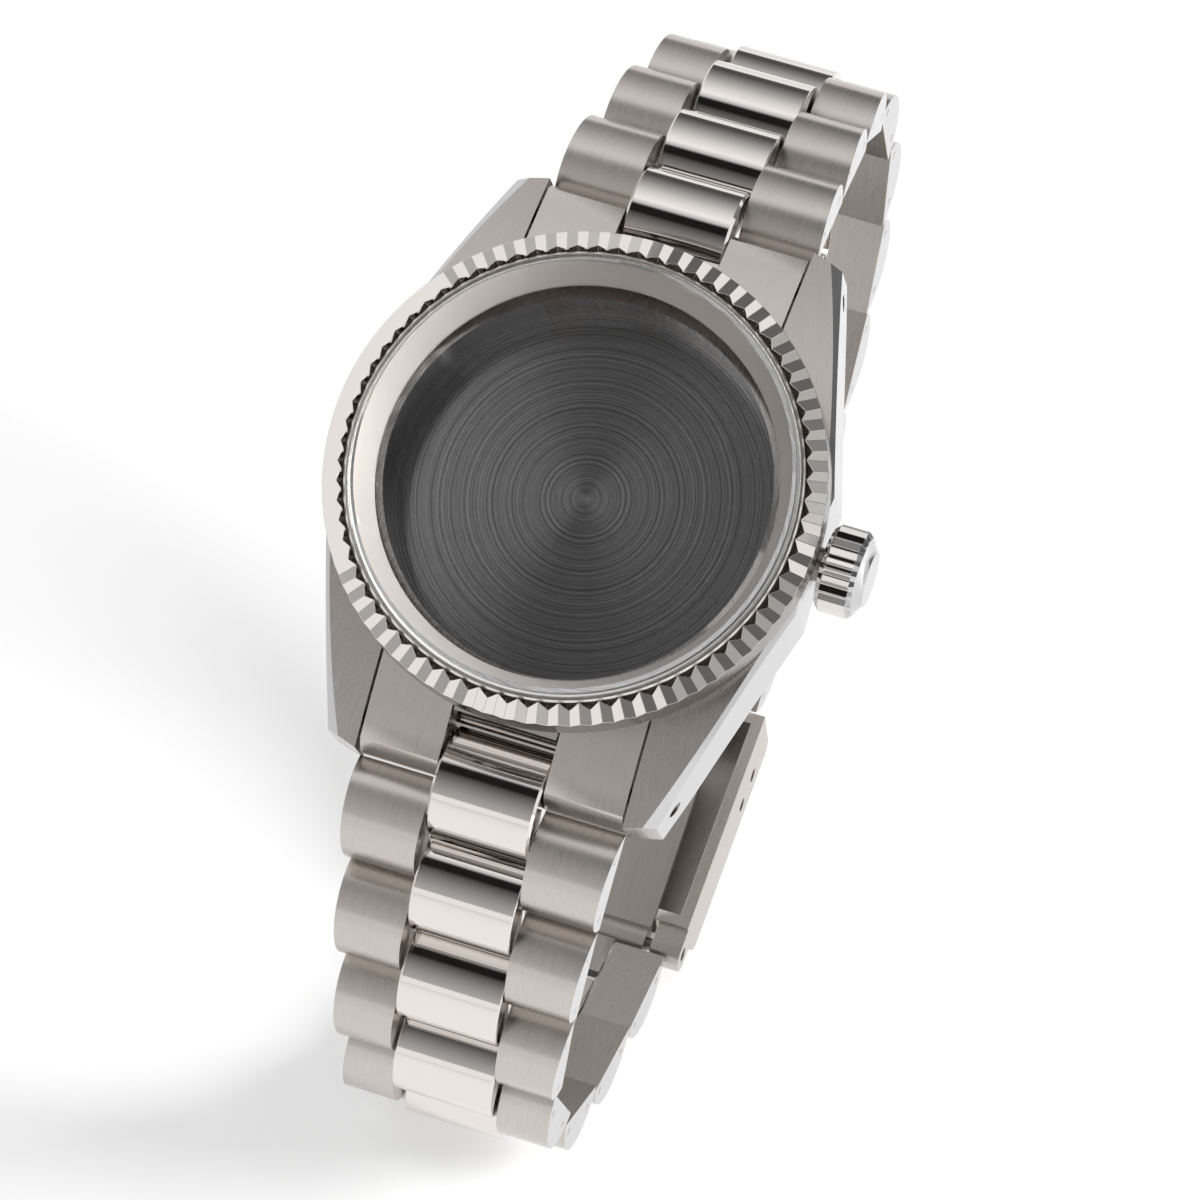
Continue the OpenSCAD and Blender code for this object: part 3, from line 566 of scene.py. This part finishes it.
# %% Link tree
PITCH, PIN_GAP = 8.4, 4.95
ARC_R, ARC_ALONG, ARC_OUT, BASE_OUT = 4.142, 2.475, -1.942, -1.2
ARC_POINTS = 56
EDGE_ANGLE = math.asin((BASE_OUT - ARC_OUT) / ARC_R)


def link_tree():
    tree, into = new_tree("half_round_links", {"Radius": 0.0, "First Angle": 0.0, "Sweep": 0.0,
        "Middle Along": 0.0, "Middle Out": 0.0, "Left": 0.0, "Right": 0.0, "Slant": 0.0, "Pair": False})
    arc = node(tree, "GeometryNodeCurveArc", {"Resolution": ARC_POINTS, "Radius": into["Radius"],
        "Start Angle": into["First Angle"], "Sweep Angle": into["Sweep"]}).outputs["Curve"]
    loop = node(tree, "GeometryNodeSetSplineCyclic", {0: arc, "Cyclic": True}).outputs[0]
    face = node(tree, "GeometryNodeFillCurve", {0: loop}, mode="NGONS").outputs[0]
    start = node(tree, "ShaderNodeCombineXYZ",
        {"X": into["Left"], "Y": into["Middle Along"], "Z": into["Middle Out"]}).outputs[0]
    face = node(tree, "GeometryNodeTransform",
        {"Geometry": face, "Translation": start, "Rotation": (math.pi / 2, 0, math.pi / 2)}).outputs[0]
    width = node(tree, "ShaderNodeMath", {0: into["Right"], 1: into["Left"]}, operation="SUBTRACT").outputs[0]
    pull = node(tree, "ShaderNodeCombineXYZ", {"X": width}).outputs[0]
    bar = node(tree, "GeometryNodeExtrudeMesh", {"Mesh": face, "Offset": pull, "Offset Scale": 1.0,
        "Individual": False}, mode="FACES").outputs["Mesh"]
    back = node(tree, "GeometryNodeFlipFaces", {0: face}).outputs[0]
    bar = node(tree, "GeometryNodeJoinGeometry", {0: bar})
    tree.links.new(back, bar.inputs[0])
    bar = node(tree, "GeometryNodeMergeByDistance", {0: bar.outputs[0], "Distance": SEAM}).outputs[0]
    # The outer side, past the bar's middle, leans in as it goes along.
    place = node(tree, "GeometryNodeInputPosition").outputs[0]
    spot = node(tree, "ShaderNodeSeparateXYZ", {0: place}).outputs
    middle = node(tree, "ShaderNodeMath", {0: width, 1: 0.5}, operation="MULTIPLY").outputs[0]
    middle = node(tree, "ShaderNodeMath", {0: into["Left"], 1: middle}, operation="ADD").outputs[0]
    outer = node(tree, "ShaderNodeMath", {0: spot["X"], 1: middle}, operation="GREATER_THAN").outputs[0]
    inwards = node(tree, "ShaderNodeMath", {0: outer, 1: -1}, operation="MULTIPLY").outputs[0]
    lean = node(tree, "ShaderNodeMath", {0: spot["Y"], 1: into["Slant"]}, operation="MULTIPLY").outputs[0]
    lean = node(tree, "ShaderNodeMath", {0: lean, 1: inwards}, operation="MULTIPLY").outputs[0]
    lean = node(tree, "ShaderNodeCombineXYZ", {"X": lean}).outputs[0]
    bar = node(tree, "GeometryNodeSetPosition", {"Geometry": bar, "Offset": lean}).outputs[0]
    other = node(tree, "GeometryNodeTransform", {"Geometry": bar, "Scale": (-1, 1, 1)}).outputs[0]
    other = node(tree, "GeometryNodeFlipFaces", {0: other}).outputs[0]
    pair = node(tree, "GeometryNodeJoinGeometry", {0: bar})
    tree.links.new(other, pair.inputs[0])
    pick = node(tree, "GeometryNodeSwitch", {"Switch": into["Pair"], "False": bar, "True": pair.outputs[0]},
        input_type="GEOMETRY").outputs[0]
    end_tree(tree, pick, into["Material"])
    return tree


LINKS = link_tree()


def link_mesh(name, left, right, slant, pair, material, step=0.0):
    return run_tree(LINKS, name, {"Radius": ARC_R * MM, "First Angle": EDGE_ANGLE,
        "Sweep": math.pi - 2 * EDGE_ANGLE, "Middle Along": (ARC_ALONG + step) * MM,
        "Middle Out": ARC_OUT * MM, "Left": left * MM, "Right": right * MM, "Slant": slant, "Pair": pair,
        "Material": material})


# %% [markdown]
# A pin goes through each end of an outer link. Its two ends are ground off just
# proud of the link's sides, so they show as small round dots.

# %% Pin ends
PIN_END_R, PIN_END_OUT, PIN_END_SIDES = 0.3, 0.03, 20


def add_pin_ends(mesh, half, slant):
    """Joins the two small round ends of each link pin to the sides of a pair of outer links."""
    work = bmesh.new()
    work.from_mesh(mesh)
    for side in (-1, 1):
        for along in (0, PIN_GAP):
            across = side * (half - slant * along)
            place = Matrix.Translation(Vector((across, along, 0)) * MM) @ Matrix.Rotation(math.pi / 2, 4, "Y")
            bmesh.ops.create_cone(work, cap_ends=True, segments=PIN_END_SIDES, radius1=PIN_END_R * MM,
                radius2=PIN_END_R * MM, depth=2 * PIN_END_OUT * MM, matrix=place)
    work.to_mesh(mesh)
    work.free()


print("pin ends", 2 * PIN_END_R, "mm wide")

# %% [markdown]
# Each row has its own body, so each row gets its own meshes. The hinge of a row
# and the hinge of the next one give its place and its direction. The first three
# rows get narrower and the rest keep that width. The centre links lie half a
# pitch further on than the outer links of their row. The outer links' sides are
# satin, like the case's flanks.

# %% Lay the rows
BAND_HALF, BAND_END_HALF, TAPER_ROWS = 9.9, 8.0, 3
TAPER = (BAND_HALF - BAND_END_HALF) / (TAPER_ROWS * PITCH)
OUTER_IN, CENTRE_HALF = 4.025, 3.875
LINK_ANGLE, OUTER_EDGE, CENTRE_EDGE = 35, 0.16, 0.2
SIDE_WAY, SIDE_OUT = 0.98, 7  # how squarely a link's side faces across, and how far out it lies at least


def row_place(pin, following, side):
    along = (following - pin).normalized()
    out = Vector((0, -along.z, along.y)) * (1 if side == 12 else -1)
    across = along.cross(out)
    place = Matrix((across, along, out)).transposed().to_4x4()
    place.translation = pin
    return place


def pins(side):
    found = []
    while f"hinge_{side}_{len(found) + 1}" in joints:
        found.append(Vector(joints[f"hinge_{side}_{len(found) + 1}"]["pos_m"]))
    last = joints["short_blade_swing" if side == 12 else "cover_lift"]
    return found + [Vector(last["pos_m"])]


rows = 0
for side in (12, 6):
    spots = pins(side)
    for row in range(len(spots) - 1):
        place = row_place(spots[row], spots[row + 1], side)
        half = BAND_HALF - TAPER * PITCH * min(row, TAPER_ROWS)
        slant = TAPER if row < TAPER_ROWS else 0.0
        outer = f"outer_links_{side}_{row + 1}"
        mesh = link_mesh(outer, OUTER_IN, half, slant, True, LINK_STEEL)
        add_pin_ends(mesh, half, slant)
        mesh.transform(place)
        piece = new_piece(outer + "_finish", mesh)
        round_edges(piece, OUTER_EDGE * MM, LINK_ANGLE)
        settle(piece, outer, LINK_STEEL)
        refinish(piece, FLANK_STEEL, lambda middle, way: abs(way.x) > SIDE_WAY and abs(middle.x) > SIDE_OUT)
        centre = f"centre_link_{side}_{row + 1}"
        if centre in frame["nodes"] and centre not in dressed:
            mesh = link_mesh(centre, -CENTRE_HALF, CENTRE_HALF, 0.0, False, BRIGHT_STEEL, PITCH / 2)
            mesh.transform(place)
            piece = new_piece(centre + "_finish", mesh)
            round_edges(piece, CENTRE_EDGE * MM, LINK_ANGLE)
            settle(piece, centre, BRIGHT_STEEL)
        rows += 1
print("rows", rows)

# %% [markdown]
# The pieces that are hardly seen stay the CAD's own solids: the crystal, the
# seals, the crown's tube and post, the spring bars and the clasp's pins. They
# only get the material of the real piece, ground steel unless it is named here.

# %% Materials for the solids that stay as they are
KEPT = {"crystal": CRYSTAL, "crystal_gasket": NYLON, "caseback_gasket": RUBBER, "crown_gasket": RUBBER}
for cad_node, piece in frame["nodes"].items():
    piece.data.materials.clear()
    piece.data.materials.append(KEPT.get(cad_node, PIN_AND_SHADE_STEEL))
print("named", sorted(KEPT))

# %% [markdown]
# The floor is one big pale sheet. To the camera, in reflections and through the
# crystal the far world is plain white, and the floor mixes in some of that white
# so that it meets the world without a line but still takes the watch's soft
# shadow. The light that falls on the watch from the world is less than white.

# %% Floor and world
FLOOR_REACH, FLOOR_WHITE, ROOM_LIGHT = 3.0, 0.5, 0.6


def seen_share(tree):
    """Is 1 for the rays of the camera, of reflections and through glass, and 0 for the others."""
    path = node(tree, "ShaderNodeLightPath").outputs
    seen = node(tree, "ShaderNodeMath", {0: path["Is Camera Ray"], 1: path["Is Glossy Ray"]},
        operation="MAXIMUM").outputs[0]
    return node(tree, "ShaderNodeMath", {0: seen, 1: path["Is Transmission Ray"]},
        operation="MAXIMUM").outputs[0]


work = bmesh.new()
bmesh.ops.create_grid(work, x_segments=1, y_segments=1, size=FLOOR_REACH)
bmesh.ops.translate(work, verts=work.verts, vec=(0, 0, cad_box[0][2]))
floor_mesh = bpy.data.meshes.new("floor")
work.to_mesh(floor_mesh)
work.free()
floor = new_piece("floor", floor_mesh)
paper, tree = new_material("pale_floor")
share = node(tree, "ShaderNodeMath", {0: seen_share(tree), 1: FLOOR_WHITE}, operation="MULTIPLY").outputs[0]
sheet = node(tree, "ShaderNodeBsdfDiffuse", {"Color": linear("#f6f6f6")})
white = node(tree, "ShaderNodeEmission", {"Strength": 1.0})
both = node(tree, "ShaderNodeMixShader", {0: share, 1: sheet.outputs[0], 2: white.outputs[0]})
node(tree, "ShaderNodeOutputMaterial", {"Surface": both.outputs[0]})
floor_mesh.materials.append(paper)

world = bpy.data.worlds.new("studio")
bpy.context.scene.world = world
world.use_nodes = True
tree = world.node_tree
tree.nodes.clear()
room = node(tree, "ShaderNodeBackground", {"Color": linear("#ffffff"), "Strength": ROOM_LIGHT})
white = node(tree, "ShaderNodeBackground", {"Color": linear("#ffffff"), "Strength": 1.0})
both = node(tree, "ShaderNodeMixShader", {0: seen_share(tree), 1: room.outputs[0], 2: white.outputs[0]})
node(tree, "ShaderNodeOutputWorld", {"Surface": both.outputs[0]})
print("floor at", round(cad_box[0][2] / MM, 2), "mm")

# %% [markdown]
# Polished metal has no look of its own: it shows the room. This room is an arch
# of cards over the watch, which only reflections and rays through the crystal
# find. Going up from the front it is grey, gets darker, is black for a short
# stretch, and then turns into a bright soft light overhead that fades towards
# the back. Below the arch the reflections find the white table, which gives the
# links their pale lower halves. To the right the arch starts higher up, light at
# its foot and dark grey above, which darkens every second facet of the bezel. A
# stop is a share of a half turn up from the front, and how bright it is there.

# %% The arch of cards
ARCH_R, ARCH_STEPS, ARCH_BACK = 0.8, 64, 165
MIDDLE_FROM, RIGHT_FROM = 9, 28
LEFT_EDGE, MIDDLE_EDGE, RIGHT_EDGE = -0.23, 0.3, 1.3
MIDDLE_STOPS = ((0.05, 0.50), (0.12, 0.40), (0.19, 0.28), (0.26, 0.16), (0.31, 0.07), (0.325, 0.012),
    (0.405, 0.012), (0.43, 0.65), (0.48, 1.10), (0.57, 0.85), (0.67, 0.50), (0.76, 0.25), (0.85, 0.08),
    (0.92, 0.12))
RIGHT_STOPS = ((0.155, 0.75), (0.20, 0.45), (0.26, 0.25), (0.33, 0.16), (0.60, 0.15), (0.92, 0.25))


def arch(name, left, right, low, stops):
    """Part of a tube round the X axis, lit by a ramp over its angle above the front."""
    work = bmesh.new()
    for i in range(ARCH_STEPS + 1):
        angle = math.radians(low + (ARCH_BACK - low) * i / ARCH_STEPS)
        for x in (left, right):
            work.verts.new((x, -ARCH_R * math.cos(angle), ARCH_R * math.sin(angle)))
    work.verts.ensure_lookup_table()
    for i in range(0, 2 * ARCH_STEPS, 2):
        work.faces.new([work.verts[k] for k in (i, i + 1, i + 3, i + 2)])
    mesh = bpy.data.meshes.new(name)
    work.to_mesh(mesh)
    work.free()
    made = new_piece(name, mesh)
    material, tree = new_material(name + "_cards")
    place = node(tree, "ShaderNodeTexCoord").outputs["Object"]
    place = node(tree, "ShaderNodeSeparateXYZ", {0: place}).outputs
    front = node(tree, "ShaderNodeMath", {0: place["Y"], 1: -1}, operation="MULTIPLY").outputs[0]
    above = node(tree, "ShaderNodeMath", {0: place["Z"], 1: front}, operation="ARCTAN2").outputs[0]
    above = node(tree, "ShaderNodeMath", {0: above, 1: math.pi}, operation="DIVIDE").outputs[0]
    ramp = node(tree, "ShaderNodeValToRGB", {"Fac": above})
    bar = ramp.color_ramp
    for spot, level in stops:
        stop = bar.elements.new(spot)
        stop.color = (level, level, level, 1)
    bar.elements.remove(bar.elements[0])
    bar.elements.remove(bar.elements[-1])
    glow = node(tree, "ShaderNodeEmission", {"Color": ramp.outputs["Color"]})
    node(tree, "ShaderNodeOutputMaterial", {"Surface": glow.outputs[0]})
    mesh.materials.append(material)
    made.visible_camera = made.visible_diffuse = made.visible_shadow = False
    print(name, "stops", len(bar.elements))


arch("middle_cards", LEFT_EDGE, MIDDLE_EDGE, MIDDLE_FROM, MIDDLE_STOPS)
arch("right_cards", MIDDLE_EDGE, RIGHT_EDGE, RIGHT_FROM, RIGHT_STOPS)

# %% [markdown]
# One low lamp on the crown's side throws the long soft shadow. The steel doesn't
# mirror it, because its spot would burn out the polished flanks.

# %% Lamp
LAMP_WAY = Vector((0.9, 0.17, 0.4)).normalized()
LAMP_DISTANCE, LAMP_SIZE, LAMP_WATTS = 0.8, 0.3, 10.0
light = bpy.data.lights.new("key_lamp", "AREA")
light.shape, light.size, light.energy = "DISK", LAMP_SIZE, LAMP_WATTS
lamp = bpy.data.objects.new("key_lamp", light)
bpy.context.scene.collection.objects.link(lamp)
facing = LAMP_WAY.to_track_quat("Z", "Y").to_matrix().to_4x4()
lamp.matrix_world = Matrix.Translation(LAMP_WAY * LAMP_DISTANCE) @ facing
lamp.visible_glossy = False
print("lamp at", [round(v, 2) for v in lamp.matrix_world.translation])

# %% [markdown]
# Standard shows colours as they are written.

# %% Look settings
bpy.context.scene.view_settings.view_transform = "Standard"
